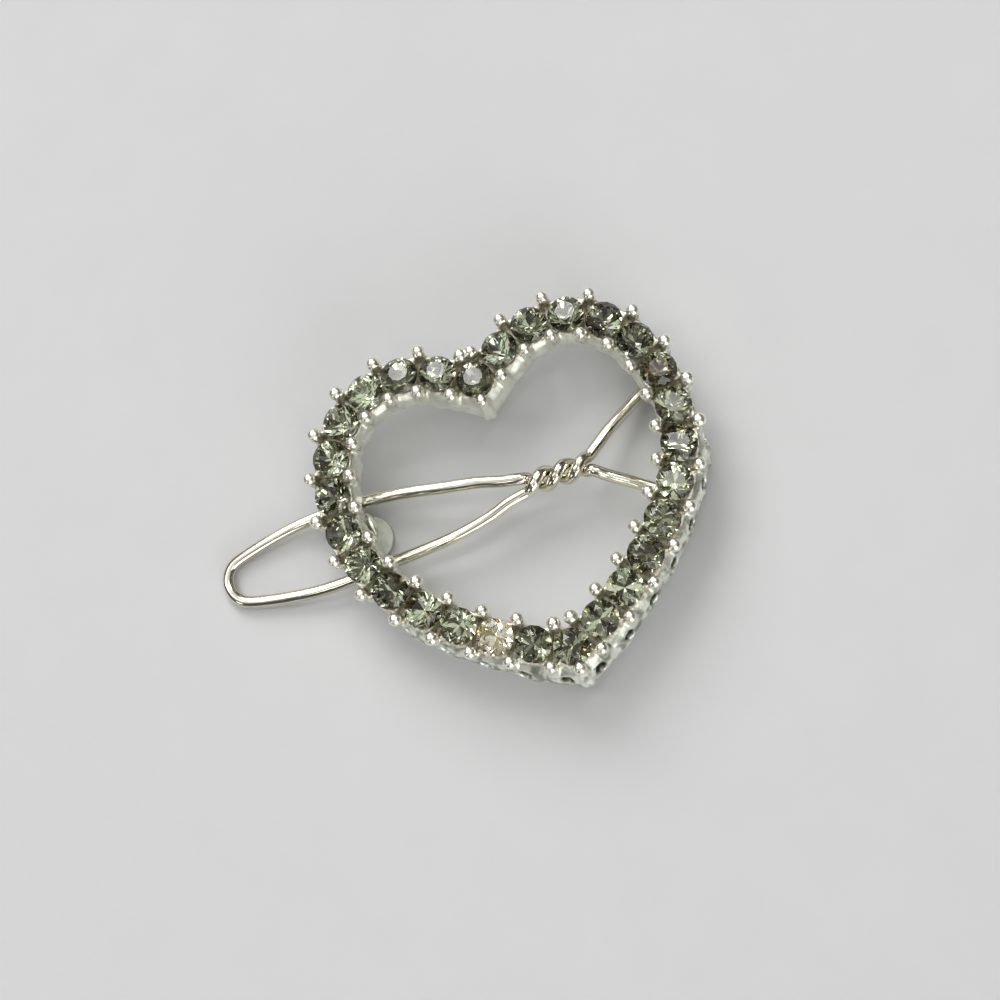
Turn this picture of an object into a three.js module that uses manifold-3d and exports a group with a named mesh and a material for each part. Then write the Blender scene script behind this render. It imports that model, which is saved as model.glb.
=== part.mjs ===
// Heart-shaped rhinestone hair clip: a cast heart of open stone seats, twenty-eight round stones,
// and a wire clasp that hinges in two lugs behind the right side and closes round a catch on the left.
// Millimetres, +Z up. The clip lies on its back, stones up. While it is built, the heart's line of
// symmetry is x = 0 and the surface that it lies on is z = 0.

import * as THREE from 'three';
import { mergeVertices } from 'three/addons/utils/BufferGeometryUtils.js';
import Module from 'manifold-3d';

const wasm = await Module();
wasm.setup();

// ---- Driving dimensions ----

// The middle line of the stone row: the right half runs from the notch to the tip as arcs that all
// bend the same way. It leaves the notch at START_HEADING, turned a little so that it ends on x = 0.
const NOTCH_Y = 8.85;
const START_HEADING = 32;
const HEART_ARCS = [
  { radius: 66.5, turn: 2.9 },
  { radius: 7.2, turn: 92.9 },
  { radius: 12.3, turn: 63.3 },
  { radius: 26.7, turn: 31.8 },
];

const STONE_COUNT = 28;
const STONE_RADIUS = 1.45;
const STONE_TABLE_RADIUS = 0.8;
const STONE_CROWN = 0.65;
const STONE_GIRDLE = 0.12;
const STONE_PAVILION = 1.35;
const STONE_SIDES = 8;
const GIRDLE_Z = 5.15;
const SEAT_CANT = 10;

const RAIL_BOTTOM = 2.4;
const RAIL_TOP = 4.7;
// The walls slope: how far they stand from the middle line at the rail's top and at its foot. Near the
// tip the outer wall's foot runs out further, and near the notch the inner wall's.
const WALL_TOP = 1.75;
const WALL_FOOT_OUT = 2.12;
const WALL_FOOT_IN = 2;
const TIP_FLARE = 0.62;
const NOTCH_FLARE = 0.35;
const FLARE_REACH = 1.5;
const SEAT_RADIUS = 1.62;
const SEAT_DEPTH = 0.35;
const SEAT_FLOOR = 1.5;
const SEAT_SIDES = 10;
const BACK_HOLE_RADIUS = 0.7;
const GALLERY_HOLE_RADIUS = 0.42;
const GALLERY_HOLE_Z = 3.3;
const GALLERY_SIDES = 6;

const PRONG_OFFSET = 1.7;
const PRONG_RADIUS = 0.36;
const BEAD_RADIUS = 0.46;
const BEAD_Z = 5.4;
const PRONG_FOOT_Z = RAIL_BOTTOM + 0.4;
const PRONG_SIDES = 6;
const BEAD_SHOULDER_ANGLE = 53;

// The clasp has a middle line of its own, turned a little from the heart's X axis.
const CLASP_TURN = -2.35;
const CLASP_Y = -0.1;
const WIRE_RADIUS = 0.5;
const WIRE_STEPS = 160;
const WIRE_SIDES = 8;
const WIRE_LENGTH_DIVISIONS = 3200;
const HINGE_X = 14;
const HINGE_Z = 1.2;
const WIRE_END_Y = 2.12;
const END_BEND_Y = 4.14;
const END_BEND_RADIUS = 0.9;
const END_BEND_STEPS = 6;
const END_LEG_ANGLE = 32.7;
// Each leg of the fork, from its end bend to the twist: [x, y, z] on the side y > 0.
const FORK_POINTS = [
  [10.4, 3.48, 1.6],
  [8.4, 2.15, 2.4],
  [7.2, 1.3, 2.85],
];
const TWIST_RIGHT = 6.2;
const TWIST_LEFT = 0.8;
const TWIST_HALF_TURNS = 3;
const TWIST_RADIUS = 0.57;
const TWIST_Z = 3.2;
const TWIST_STEPS = 18;
// Each long leg, from the twist to the loop: it arches over the catch and comes down to the loop.
const LOOP_LEG_POINTS = [
  [-1, 0.94, 3.2],
  [-2.8, 1.5, 3.1],
  [-6, 2.1, 2.8],
  [-9.2, 2.54, 2.3],
  [-12.3, 2.78, 1.75],
  [-15.5, 2.95, 1.3],
  [-18, 2.88, 1.05],
  [-19.7, 2.68, 0.9],
  [-21.5, 2.37, 0.74],
];
const LOOP_X = -23.2;
const LOOP_RADIUS = 1.9;
const LOOP_LEG_SLOPE = 15;
const LOOP_Z = 0.6;
const LOOP_TIP_Z = 0.5;
const LOOP_STEPS = 8;
// The wire is bent by hand: the twist lies a little to one side of the clasp's middle line and the loop
// to the other.
const TWIST_SIDEWAYS = -0.2;
const TWIST_SIDEWAYS_ENDS = [6.5, 9.5];
const LOOP_SIDEWAYS = 0.63;
const LOOP_SIDEWAYS_ENDS = [4, 13];

const LUG_Y = 2.7;
const LUG_WIDTH = 1;
const LUG_RADIUS = 1.2;
const LUG_BORE_RADIUS = 0.75;
const LUG_PLATE = 0.5;
const LUG_PLATE_REACH = 1.4;
const LUG_SEGMENTS = 8;
const SOLDER_GAP = 0.1;

const CATCH_Y = 0.35;
const CATCH_WIDTH = 3.8;
const CATCH_BACK_X = -14.7;
const CATCH_END_X = -10.9;
const CATCH_THICKNESS = 0.7;
const CATCH_BEND = 1.2;
const CATCH_BEND_SEGMENTS = 4;
const CATCH_END_SEGMENTS = 6;

// How far a cutting solid runs past the faces that it cuts.
const CUT_MARGIN = 1;
const MERGE_DISTANCE = 1e-4;

// ---- Materials ----

const castMetal = () => new THREE.MeshStandardMaterial({ color: 0xb9bdb2, roughness: 0.3, metalness: 1 });
const wireMetal = () => new THREE.MeshStandardMaterial({ color: 0xd0cfc4, roughness: 0.15, metalness: 1 });
const stoneGlass = () => new THREE.MeshStandardMaterial({ color: 0x4a5048, roughness: 0.05, metalness: 0.2 });

// ---- Solids from three.js geometry ----

const radians = THREE.MathUtils.degToRad;

function toSolid(geometry) {
  const bare = new THREE.BufferGeometry();
  bare.setAttribute('position', geometry.getAttribute('position').clone());
  bare.setIndex(geometry.index ? geometry.index.clone() : null);
  const merged = mergeVertices(bare, MERGE_DISTANCE);
  const corners = merged.index.array;
  const faces = [];
  for (let i = 0; i < corners.length; i += 3) {
    const [a, b, c] = corners.slice(i, i + 3);
    if (a !== b && b !== c && c !== a) {
      faces.push(a, b, c);
    }
  }
  const vertProperties = new Float32Array(merged.getAttribute('position').array);
  return new wasm.Manifold(new wasm.Mesh({ numProp: 3, vertProperties, triVerts: new Uint32Array(faces) }));
}

function toGeometry(solid) {
  const mesh = solid.getMesh();
  const geometry = new THREE.BufferGeometry();
  geometry.setAttribute('position', new THREE.BufferAttribute(mesh.vertProperties, 3));
  geometry.setIndex(new THREE.BufferAttribute(mesh.triVerts, 1));
  geometry.computeVertexNormals();
  return geometry;
}

// A profile of [radius, z] pairs turned about the Z axis.
function turned(profile, sides) {
  const geometry = new THREE.LatheGeometry(profile.map(([r, z]) => new THREE.Vector2(r, z)), sides);
  return geometry.rotateX(Math.PI / 2);
}

function named(name, geometry, material) {
  const mesh = new THREE.Mesh(geometry, material);
  mesh.name = name;
  return mesh;
}

// ---- The heart's middle line ----

// The point and heading reached after walking a length along the arcs from the notch.
function walkArcs(length, startHeading) {
  let [x, y, heading, left] = [0, NOTCH_Y, startHeading, length];
  for (const { radius, turn } of HEART_ARCS) {
    const angle = Math.min(left / radius, radians(turn));
    const next = heading - angle;
    x += radius * (Math.sin(heading) - Math.sin(next));
    y += radius * (Math.cos(next) - Math.cos(heading));
    heading = next;
    left -= angle * radius;
  }
  return { x, y, heading };
}

const HALF_LENGTH = HEART_ARCS.reduce((sum, { radius, turn }) => sum + radius * radians(turn), 0);
const FIRST_TIP = walkArcs(HALF_LENGTH, radians(START_HEADING));
const HEADING = radians(START_HEADING) - Math.atan2(FIRST_TIP.x, NOTCH_Y - FIRST_TIP.y);
const PITCH = (2 * HALF_LENGTH) / STONE_COUNT;

// A place on the whole line, counted in stones from the notch: 0 is the notch, half of STONE_COUNT
// the tip. Walking clockwise, outward is on the left.
function heartPlace(stones) {
  const atTip = STONE_COUNT / 2;
  const onRight = stones <= atTip;
  const walked = walkArcs((onRight ? stones : STONE_COUNT - stones) * PITCH, HEADING);
  const side = onRight ? 1 : -1;
  return { x: walked.x * side, y: walked.y, heading: walked.heading * side };
}

// The same place moved outward. On the line of symmetry the two sides' offsets meet at a corner.
function offsetPlace(stones, distance) {
  const { x, y, heading } = heartPlace(stones);
  const onSymmetryLine = stones % (STONE_COUNT / 2) === 0;
  if (onSymmetryLine) {
    return new THREE.Vector2(0, y + distance / Math.cos(heading));
  }
  return new THREE.Vector2(x - distance * Math.sin(heading), y + distance * Math.cos(heading));
}

// How much further a wall's foot runs out near a corner of the heart.
function flare(stones, corner, most) {
  const around = Math.abs(stones - corner);
  const away = Math.min(around, STONE_COUNT - around) / FLARE_REACH;
  return most * Math.exp(-away * away);
}

// A stone's seat: its origin is the middle of the girdle, its Z axis leans outward by SEAT_CANT.
function seatMatrix(stone) {
  const { x, y, heading } = heartPlace(stone);
  const onSymmetryLine = stone % (STONE_COUNT / 2) === 0;
  const facing = onSymmetryLine ? (stone === 0 ? 0 : Math.PI) : heading;
  const matrix = new THREE.Matrix4().makeRotationZ(facing);
  matrix.multiply(new THREE.Matrix4().makeRotationX(-radians(SEAT_CANT)));
  return matrix.setPosition(x, y, GIRDLE_Z);
}

// ---- The cast frame ----

// The rail's corners at one place, anticlockwise as seen looking along the heart, from the inner foot.
function railCorners(stones) {
  const corner = (distance, z) => {
    const { x, y } = offsetPlace(stones, distance);
    return [x, y, z];
  };
  return [
    corner(-WALL_FOOT_IN - flare(stones, 0, NOTCH_FLARE), RAIL_BOTTOM),
    corner(WALL_FOOT_OUT + flare(stones, STONE_COUNT / 2, TIP_FLARE), RAIL_BOTTOM),
    corner(WALL_TOP, RAIL_TOP),
    corner(-WALL_TOP, RAIL_TOP),
  ];
}

// A closed band: the corners at every half stone, joined to the next ones with triangles.
function rail() {
  const places = 2 * STONE_COUNT;
  const vertices = [];
  const faces = [];
  for (let place = 0; place < places; place += 1) {
    const corners = railCorners(place / 2);
    vertices.push(...corners.flat());
    for (let k = 0; k < corners.length; k += 1) {
      const [here, next] = [place, (place + 1) % places].map((at) => at * corners.length);
      const beside = (k + 1) % corners.length;
      faces.push(here + k, here + beside, next + beside, here + k, next + beside, next + k);
    }
  }
  const geometry = new THREE.BufferGeometry();
  geometry.setAttribute('position', new THREE.Float32BufferAttribute(vertices, 3));
  geometry.setIndex(faces);
  return toSolid(geometry);
}

// A post with a bead on its end, which leans over the edges of the two stones beside it.
function prong(place, beadZ) {
  const shoulder = radians(BEAD_SHOULDER_ANGLE);
  const profile = [
    [0, PRONG_FOOT_Z],
    [PRONG_RADIUS, PRONG_FOOT_Z],
    [PRONG_RADIUS, beadZ - BEAD_RADIUS],
    [BEAD_RADIUS, beadZ],
    [BEAD_RADIUS * Math.cos(shoulder), beadZ + BEAD_RADIUS * Math.sin(shoulder)],
    [0, beadZ + BEAD_RADIUS],
  ];
  return toSolid(turned(profile, PRONG_SIDES).translate(place.x, place.y, 0));
}

// One prong on each side of every gap between stones, and one more at the notch's inner corner
// and at the tip's outer corner.
function prongs() {
  const rise = PRONG_OFFSET * Math.sin(radians(SEAT_CANT));
  const outer = (stones) => prong(offsetPlace(stones, PRONG_OFFSET), BEAD_Z - rise);
  const inner = (stones) => prong(offsetPlace(stones, -PRONG_OFFSET), BEAD_Z + rise);
  const all = [inner(0), outer(STONE_COUNT / 2)];
  for (let stone = 0; stone < STONE_COUNT; stone += 1) {
    all.push(outer(stone + 0.5), inner(stone + 0.5));
  }
  return all;
}

// The space that one seat cuts out: a cone for the stone's back and a hole through to the clip's back.
function seatCutter(stone) {
  const above = RAIL_TOP;
  const below = -2 * RAIL_TOP;
  const profile = [
    [0, below],
    [BACK_HOLE_RADIUS, below],
    [BACK_HOLE_RADIUS, -SEAT_FLOOR],
    [SEAT_RADIUS, -SEAT_DEPTH],
    [SEAT_RADIUS, above],
    [0, above],
  ];
  return toSolid(turned(profile, SEAT_SIDES).applyMatrix4(seatMatrix(stone)));
}

// A round hole through the outer wall under the stone.
function galleryCutter(stone) {
  const outerHalf = WALL_FOOT_OUT + TIP_FLARE + CUT_MARGIN;
  const hole = new THREE.CylinderGeometry(GALLERY_HOLE_RADIUS, GALLERY_HOLE_RADIUS, outerHalf, GALLERY_SIDES);
  hole.translate(0, outerHalf / 2, 0);
  const matrix = seatMatrix(stone);
  const place = new THREE.Vector3().setFromMatrixPosition(matrix);
  const facing = new THREE.Matrix4().extractRotation(matrix);
  facing.multiply(new THREE.Matrix4().makeRotationX(radians(SEAT_CANT)));
  return toSolid(hole.applyMatrix4(facing).translate(place.x, place.y, GALLERY_HOLE_Z));
}

function heartFrame() {
  let solid = rail();
  for (let stone = 0; stone < STONE_COUNT; stone += 1) {
    solid = solid.subtract(seatCutter(stone)).subtract(galleryCutter(stone));
  }
  for (const post of prongs()) {
    solid = solid.add(post);
  }
  return named('heart_frame', toGeometry(solid), castMetal());
}

// ---- The stones ----

function stoneMesh(stone) {
  const half = STONE_GIRDLE / 2;
  const profile = [
    [0, -half - STONE_PAVILION],
    [STONE_RADIUS, -half],
    [STONE_RADIUS, half],
    [STONE_TABLE_RADIUS, half + STONE_CROWN],
    [0, half + STONE_CROWN],
  ];
  const number = String(stone + 1).padStart(2, '0');
  const mesh = named(`stone_${number}`, turned(profile, STONE_SIDES), stoneGlass());
  seatMatrix(stone).decompose(mesh.position, mesh.quaternion, mesh.scale);
  return mesh;
}

// ---- The wire clasp ----

function toVectors(points) {
  return points.map(([x, y, z]) => new THREE.Vector3(x, y, z));
}

// One leg of the Y, from the wire's end in the lug to the twist, on the side y > 0.
function hingeLeg() {
  const points = [new THREE.Vector3(HINGE_X, WIRE_END_Y, HINGE_Z)];
  points.push(new THREE.Vector3(HINGE_X, (WIRE_END_Y + END_BEND_Y) / 2, HINGE_Z));
  const sweep = 180 - (90 - END_LEG_ANGLE);
  for (let step = 0; step <= END_BEND_STEPS; step += 1) {
    const angle = radians((sweep * step) / END_BEND_STEPS);
    const x = HINGE_X - END_BEND_RADIUS + END_BEND_RADIUS * Math.cos(angle);
    const y = END_BEND_Y + END_BEND_RADIUS * Math.sin(angle);
    points.push(new THREE.Vector3(x, y, HINGE_Z));
  }
  return points.concat(toVectors(FORK_POINTS));
}

function mirrored(points) {
  return points.map((point) => new THREE.Vector3(point.x, -point.y, point.z));
}

// One strand of the twist, from the right end to the left; phase 0 starts on the side y > 0.
function twistStrand(phase) {
  const points = [];
  for (let step = 0; step <= TWIST_STEPS; step += 1) {
    const share = step / TWIST_STEPS;
    const angle = phase + share * TWIST_HALF_TURNS * Math.PI;
    const x = TWIST_RIGHT + share * (TWIST_LEFT - TWIST_RIGHT);
    points.push(new THREE.Vector3(x, TWIST_RADIUS * Math.cos(angle), TWIST_Z + TWIST_RADIUS * Math.sin(angle)));
  }
  return points;
}

// The round end of the loop, from the side y < 0 to the side y > 0; the legs run into it at a slope.
function loopEnd() {
  const points = [];
  for (let step = 0; step <= LOOP_STEPS; step += 1) {
    const angle = radians(-90 - LOOP_LEG_SLOPE - ((180 - 2 * LOOP_LEG_SLOPE) * step) / LOOP_STEPS);
    const reach = -Math.cos(angle);
    const x = LOOP_X - LOOP_RADIUS * reach;
    points.push(new THREE.Vector3(x, LOOP_RADIUS * Math.sin(angle), LOOP_Z + (LOOP_TIP_Z - LOOP_Z) * reach));
  }
  return points;
}

// How far the wire lies to the side of the clasp's middle line.
function sideways(x) {
  const rightOfTwist = THREE.MathUtils.smoothstep(x, ...TWIST_SIDEWAYS_ENDS);
  const leftOfTwist = THREE.MathUtils.smoothstep(-x, ...LOOP_SIDEWAYS_ENDS);
  return TWIST_SIDEWAYS * (1 - rightOfTwist) + LOOP_SIDEWAYS * leftOfTwist;
}

function wireClasp() {
  const route = [
    ...hingeLeg(),
    ...twistStrand(0),
    ...mirrored(toVectors(LOOP_LEG_POINTS)),
    ...loopEnd(),
    ...toVectors(LOOP_LEG_POINTS).reverse(),
    ...twistStrand(Math.PI).reverse(),
    ...mirrored(hingeLeg()).reverse(),
  ];
  for (const point of route) {
    point.y += sideways(point.x);
  }
  const extrudePath = new THREE.CatmullRomCurve3(route, false, 'centripetal');
  extrudePath.arcLengthDivisions = WIRE_LENGTH_DIVISIONS;
  const section = new THREE.Shape().absarc(0, 0, WIRE_RADIUS, 0, 2 * Math.PI);
  const curveSegments = WIRE_SIDES / 2;
  const geometry = new THREE.ExtrudeGeometry(section, { steps: WIRE_STEPS, curveSegments, extrudePath });
  return named('wire_clasp', geometry, wireMetal());
}

// ---- Hinge lugs and catch ----

// A shape drawn in x and z, given its width along y and centred on y = 0.
function uprightExtrusion(shape, width, curveSegments) {
  const geometry = new THREE.ExtrudeGeometry(shape, { depth: width, bevelEnabled: false, curveSegments });
  return geometry.rotateX(Math.PI / 2).translate(0, width / 2, 0);
}

// An eye for one wire end, with a plate on top that is soldered to the frame's back.
function hingeLug(name, side) {
  const top = RAIL_BOTTOM - SOLDER_GAP - HINGE_Z;
  const outline = new THREE.Shape();
  outline.moveTo(LUG_PLATE_REACH, top);
  outline.lineTo(-LUG_PLATE_REACH, top);
  outline.lineTo(-LUG_PLATE_REACH, top - LUG_PLATE);
  outline.lineTo(-LUG_RADIUS, 0);
  outline.absarc(0, 0, LUG_RADIUS, Math.PI, 2 * Math.PI);
  outline.lineTo(LUG_RADIUS, top - LUG_PLATE);
  outline.lineTo(LUG_PLATE_REACH, top - LUG_PLATE);
  outline.holes.push(new THREE.Path().absarc(0, 0, LUG_BORE_RADIUS, 0, 2 * Math.PI, true));
  const mesh = named(name, uprightExtrusion(outline, LUG_WIDTH, LUG_SEGMENTS), castMetal());
  mesh.position.set(HINGE_X, side * LUG_Y, HINGE_Z);
  return mesh;
}

// A bent strip: its upright is soldered to the frame's back and its foot reaches in under the clasp's
// level, between the two long legs.
function catchHook() {
  const top = RAIL_BOTTOM - SOLDER_GAP;
  const outline = new THREE.Shape();
  outline.moveTo(CATCH_BACK_X, top);
  outline.lineTo(CATCH_BACK_X, CATCH_BEND);
  outline.absarc(CATCH_BACK_X + CATCH_BEND, CATCH_BEND, CATCH_BEND, Math.PI, 1.5 * Math.PI);
  outline.lineTo(CATCH_END_X, 0);
  outline.lineTo(CATCH_END_X, CATCH_THICKNESS);
  outline.lineTo(CATCH_BACK_X + CATCH_BEND, CATCH_THICKNESS);
  const innerBend = CATCH_BEND - CATCH_THICKNESS;
  outline.absarc(CATCH_BACK_X + CATCH_BEND, CATCH_BEND, innerBend, 1.5 * Math.PI, Math.PI, true);
  outline.lineTo(CATCH_BACK_X + CATCH_THICKNESS, top);
  const strip = toSolid(uprightExtrusion(outline, CATCH_WIDTH, CATCH_BEND_SEGMENTS));

  const half = CATCH_WIDTH / 2;
  const roundX = CATCH_END_X - half;
  const tongue = new THREE.Shape();
  tongue.moveTo(CATCH_BACK_X - CUT_MARGIN, -half - CUT_MARGIN);
  tongue.lineTo(roundX, -half - CUT_MARGIN);
  tongue.lineTo(roundX, -half);
  tongue.absarc(roundX, 0, half, -Math.PI / 2, Math.PI / 2);
  tongue.lineTo(roundX, half + CUT_MARGIN);
  tongue.lineTo(CATCH_BACK_X - CUT_MARGIN, half + CUT_MARGIN);
  const settings = { depth: top + 2 * CUT_MARGIN, bevelEnabled: false, curveSegments: CATCH_END_SEGMENTS };
  const roundEnd = new THREE.ExtrudeGeometry(tongue, settings).translate(0, 0, -CUT_MARGIN);
  const solid = strip.intersect(toSolid(roundEnd));
  const mesh = named('catch_hook', toGeometry(solid), castMetal());
  mesh.position.y = CATCH_Y;
  return mesh;
}

// ---- Assembly ----

const clip = new THREE.Group();
clip.add(heartFrame());
for (let stone = 0; stone < STONE_COUNT; stone += 1) {
  clip.add(stoneMesh(stone));
}

const clasp = new THREE.Group();
clasp.position.y = CLASP_Y;
clasp.rotation.z = radians(CLASP_TURN);
clasp.add(wireClasp(), hingeLug('hinge_lug_upper', 1), hingeLug('hinge_lug_lower', -1), catchHook());
clip.add(clasp);

// The origin is the bottom centre of the whole clip.
const bounds = new THREE.Box3().setFromObject(clip, true);
const middle = bounds.getCenter(new THREE.Vector3());
clip.position.set(-middle.x, -middle.y, -bounds.min.z);
const part = new THREE.Group();
part.add(clip);

export default part;
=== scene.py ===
"""Looks for the heart-shaped rhinestone hair clip: a fine casting with open seats, beaded prongs,
faceted foil-backed stones and a twisted wire clasp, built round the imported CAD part."""

import math
import random

import bmesh
import bpy
from mathutils import Matrix, Vector
from mathutils.kdtree import KDTree


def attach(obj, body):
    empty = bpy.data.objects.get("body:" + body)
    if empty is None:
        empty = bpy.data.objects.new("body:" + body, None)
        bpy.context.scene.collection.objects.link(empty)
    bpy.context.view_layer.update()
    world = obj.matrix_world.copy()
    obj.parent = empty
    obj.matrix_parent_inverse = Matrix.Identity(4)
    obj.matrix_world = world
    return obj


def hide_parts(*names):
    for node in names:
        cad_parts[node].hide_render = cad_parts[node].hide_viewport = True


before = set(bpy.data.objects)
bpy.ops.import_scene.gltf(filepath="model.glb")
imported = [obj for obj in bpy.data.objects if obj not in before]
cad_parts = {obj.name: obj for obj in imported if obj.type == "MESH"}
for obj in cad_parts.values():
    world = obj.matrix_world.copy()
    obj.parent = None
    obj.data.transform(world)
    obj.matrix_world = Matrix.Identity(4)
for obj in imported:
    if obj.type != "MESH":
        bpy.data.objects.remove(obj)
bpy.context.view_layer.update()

MM = 0.001

# ---- Driving dimensions, in millimetres, in the clip's own frame: the heart's line of symmetry is
# ---- x = 0 and the surface that the clip lies on is z = 0 ----

NOTCH_Y = 8.85
START_HEADING = 32
HEART_ARCS = [(66.5, 2.9), (7.2, 92.9), (12.3, 63.3), (26.7, 31.8)]

STONE_COUNT = 28
TIP = STONE_COUNT // 2
STONE_RADIUS = 1.51
STONE_TABLE_RADIUS = 0.80
STONE_STAR_RADIUS = 1.17
STONE_CROWN = 0.62
STONE_GIRDLE = 0.08
STONE_PAVILION = 1.35
STONE_BACK_RADIUS = 0.5
CAD_STONE_GIRDLE = 0.12
GIRDLE_Z = 5.15
SEAT_CANT = 10

RAIL_BOTTOM = 2.4
RAIL_TOP = 4.4
BEAD_Z = 5.4
PRONG_OFFSET = 1.7
BEAD_RADIUS = 0.56

CLASP_TURN = -2.35
CLASP_Y = -0.1
WIRE_RADIUS = 0.5
HINGE_X = 14
HINGE_Z = 1.2
WIRE_END_Y = 2.12
END_BEND_Y = 4.14
END_BEND_RADIUS = 0.9
END_BEND_STEPS = 6
END_LEG_ANGLE = 32.7
FORK_POINTS = [(10.4, 3.48, 1.6), (8.4, 2.15, 2.4), (7.2, 1.3, 2.85)]
TWIST_RIGHT = 6.2
TWIST_LEFT = 0.8
TWIST_HALF_TURNS = 3
TWIST_RADIUS = 0.57
TWIST_Z = 3.2
TWIST_STEPS = 18
LOOP_LEG_POINTS = [
    (-1, 0.94, 3.2),
    (-2.8, 1.5, 3.1),
    (-6, 2.1, 2.8),
    (-9.2, 2.54, 2.3),
    (-12.3, 2.78, 1.75),
    (-15.5, 2.95, 1.3),
    (-18, 2.88, 1.05),
    (-19.7, 2.68, 0.9),
    (-21.5, 2.37, 0.74),
]
LOOP_X = -23.2
LOOP_RADIUS = 1.9
LOOP_LEG_SLOPE = 15
LOOP_Z = 0.6
LOOP_TIP_Z = 0.5
LOOP_STEPS = 8
TWIST_SIDEWAYS = -0.2
TWIST_SIDEWAYS_ENDS = (6.5, 9.5)
LOOP_SIDEWAYS = 0.63
LOOP_SIDEWAYS_ENDS = (4, 13)

LUG_Y = 2.7
LUG_WIDTH = 1
LUG_RADIUS = 1.2
LUG_BORE_RADIUS = 0.62
LUG_PLATE = 0.5
LUG_PLATE_REACH = 1.4

CATCH_Y = 0.35
CATCH_WIDTH = 3.8
CATCH_BACK_X = -14.7
CATCH_END_X = -10.9
CATCH_THICKNESS = 0.7
CATCH_BEND = 1.2


# ---- The heart's middle line ----


def walk_arcs(length, heading):
    """The point and heading reached after walking a length along the arcs from the notch."""
    x, y, left = 0.0, NOTCH_Y, length
    for radius, turn in HEART_ARCS:
        angle = min(left / radius, math.radians(turn))
        ahead = heading - angle
        x += radius * (math.sin(heading) - math.sin(ahead))
        y += radius * (math.cos(ahead) - math.cos(heading))
        heading = ahead
        left -= angle * radius
    return x, y, heading


HALF_LENGTH = sum(radius * math.radians(turn) for radius, turn in HEART_ARCS)
FIRST_TIP = walk_arcs(HALF_LENGTH, math.radians(START_HEADING))
HEADING = math.radians(START_HEADING) - math.atan2(FIRST_TIP[0], NOTCH_Y - FIRST_TIP[1])
PITCH = HALF_LENGTH / TIP


def smoothstep(value, low, high):
    share = min(max((value - low) / (high - low), 0), 1)
    return share * share * (3 - 2 * share)


def heart_place(stones):
    """(x, y, heading) counted in stones from the notch, clockwise, so that outward is on the left."""
    stones %= STONE_COUNT
    if stones <= TIP:
        return walk_arcs(stones * PITCH, HEADING)
    x, y, heading = walk_arcs((STONE_COUNT - stones) * PITCH, HEADING)
    return -x, y, -heading


def offset_place(stones, distance, z):
    """The same place moved outward. On the line of symmetry the two sides meet at a corner."""
    x, y, heading = heart_place(stones)
    if stones % TIP == 0:
        return Vector((0, y + distance / math.cos(heading), z))
    return Vector((x - distance * math.sin(heading), y + distance * math.cos(heading), z))


def facing(stones):
    """The direction along the heart that a seat or prong is square to."""
    if stones % STONE_COUNT == 0:
        return 0.0
    return math.pi if stones % STONE_COUNT == TIP else heart_place(stones)[2]


def seat_matrix(stone):
    """A stone's seat: origin in the middle of the girdle, Z axis leaning outward."""
    x, y, _ = heart_place(stone)
    turn = Matrix.Rotation(facing(stone), 4, "Z") @ Matrix.Rotation(-math.radians(SEAT_CANT), 4, "X")
    return Matrix.Translation((x, y, GIRDLE_Z)) @ turn


# Corners that agree to this many decimals of a millimetre are one corner.
WELD_DIGITS = 3


def clip_shift():
    """How far the row frame is from the clip's own frame, from the point and table of CAD stone_01."""
    points = [v.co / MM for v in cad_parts["stone_01"].data.vertices]
    point = min(points, key=lambda p: p.z)
    crown = [p for p in points if (p - point).length > STONE_PAVILION and p.z > GIRDLE_Z]
    axis = seat_matrix(0).to_3x3() @ Vector((0, 0, 1))
    top = max(crown, key=lambda p: p.dot(axis))
    level = [p for p in crown if abs(p.dot(axis) - top.dot(axis)) < STONE_GIRDLE]
    corners = {tuple(round(c, WELD_DIGITS) for c in p) for p in level}
    table = sum((Vector(c) for c in corners), Vector()) / len(corners)
    depth = STONE_PAVILION + CAD_STONE_GIRDLE / 2
    girdle = point + (table - point).normalized() * depth
    x, y, _ = heart_place(0)
    return Vector((girdle.x - x, girdle.y - y, 0))


SHIFT = clip_shift()
TO_ROW = Matrix.Scale(MM, 4) @ Matrix.Translation(SHIFT)
CLASP = Matrix.Translation((0, CLASP_Y, 0)) @ Matrix.Rotation(math.radians(CLASP_TURN), 4, "Z")
# Stands a shape drawn in x and y upright, so that its y is up.
UPRIGHT_PLANE = Matrix.Rotation(math.pi / 2, 4, "X")


# ---- Mesh helpers, all in millimetres ----

SMOOTH_FACTOR = 0.5
LEAST_KNOT = 1e-6
# How far a cutter reaches past what it cuts.
CUT_BEYOND = 1


def add_rings(bm, rings, closed=False):
    """Joins rings of equally many points with faces. Open stacks get a face at each end."""
    rows = [[bm.verts.new(point) for point in ring] for ring in rings]
    count = len(rows[0])
    last = len(rows) if closed else len(rows) - 1
    for i in range(last):
        low, high = rows[i], rows[(i + 1) % len(rows)]
        for k in range(count):
            bm.faces.new((low[k], low[(k + 1) % count], high[(k + 1) % count], high[k]))
    if not closed:
        bm.faces.new(list(reversed(rows[0])))
        bm.faces.new(rows[-1])


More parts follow.
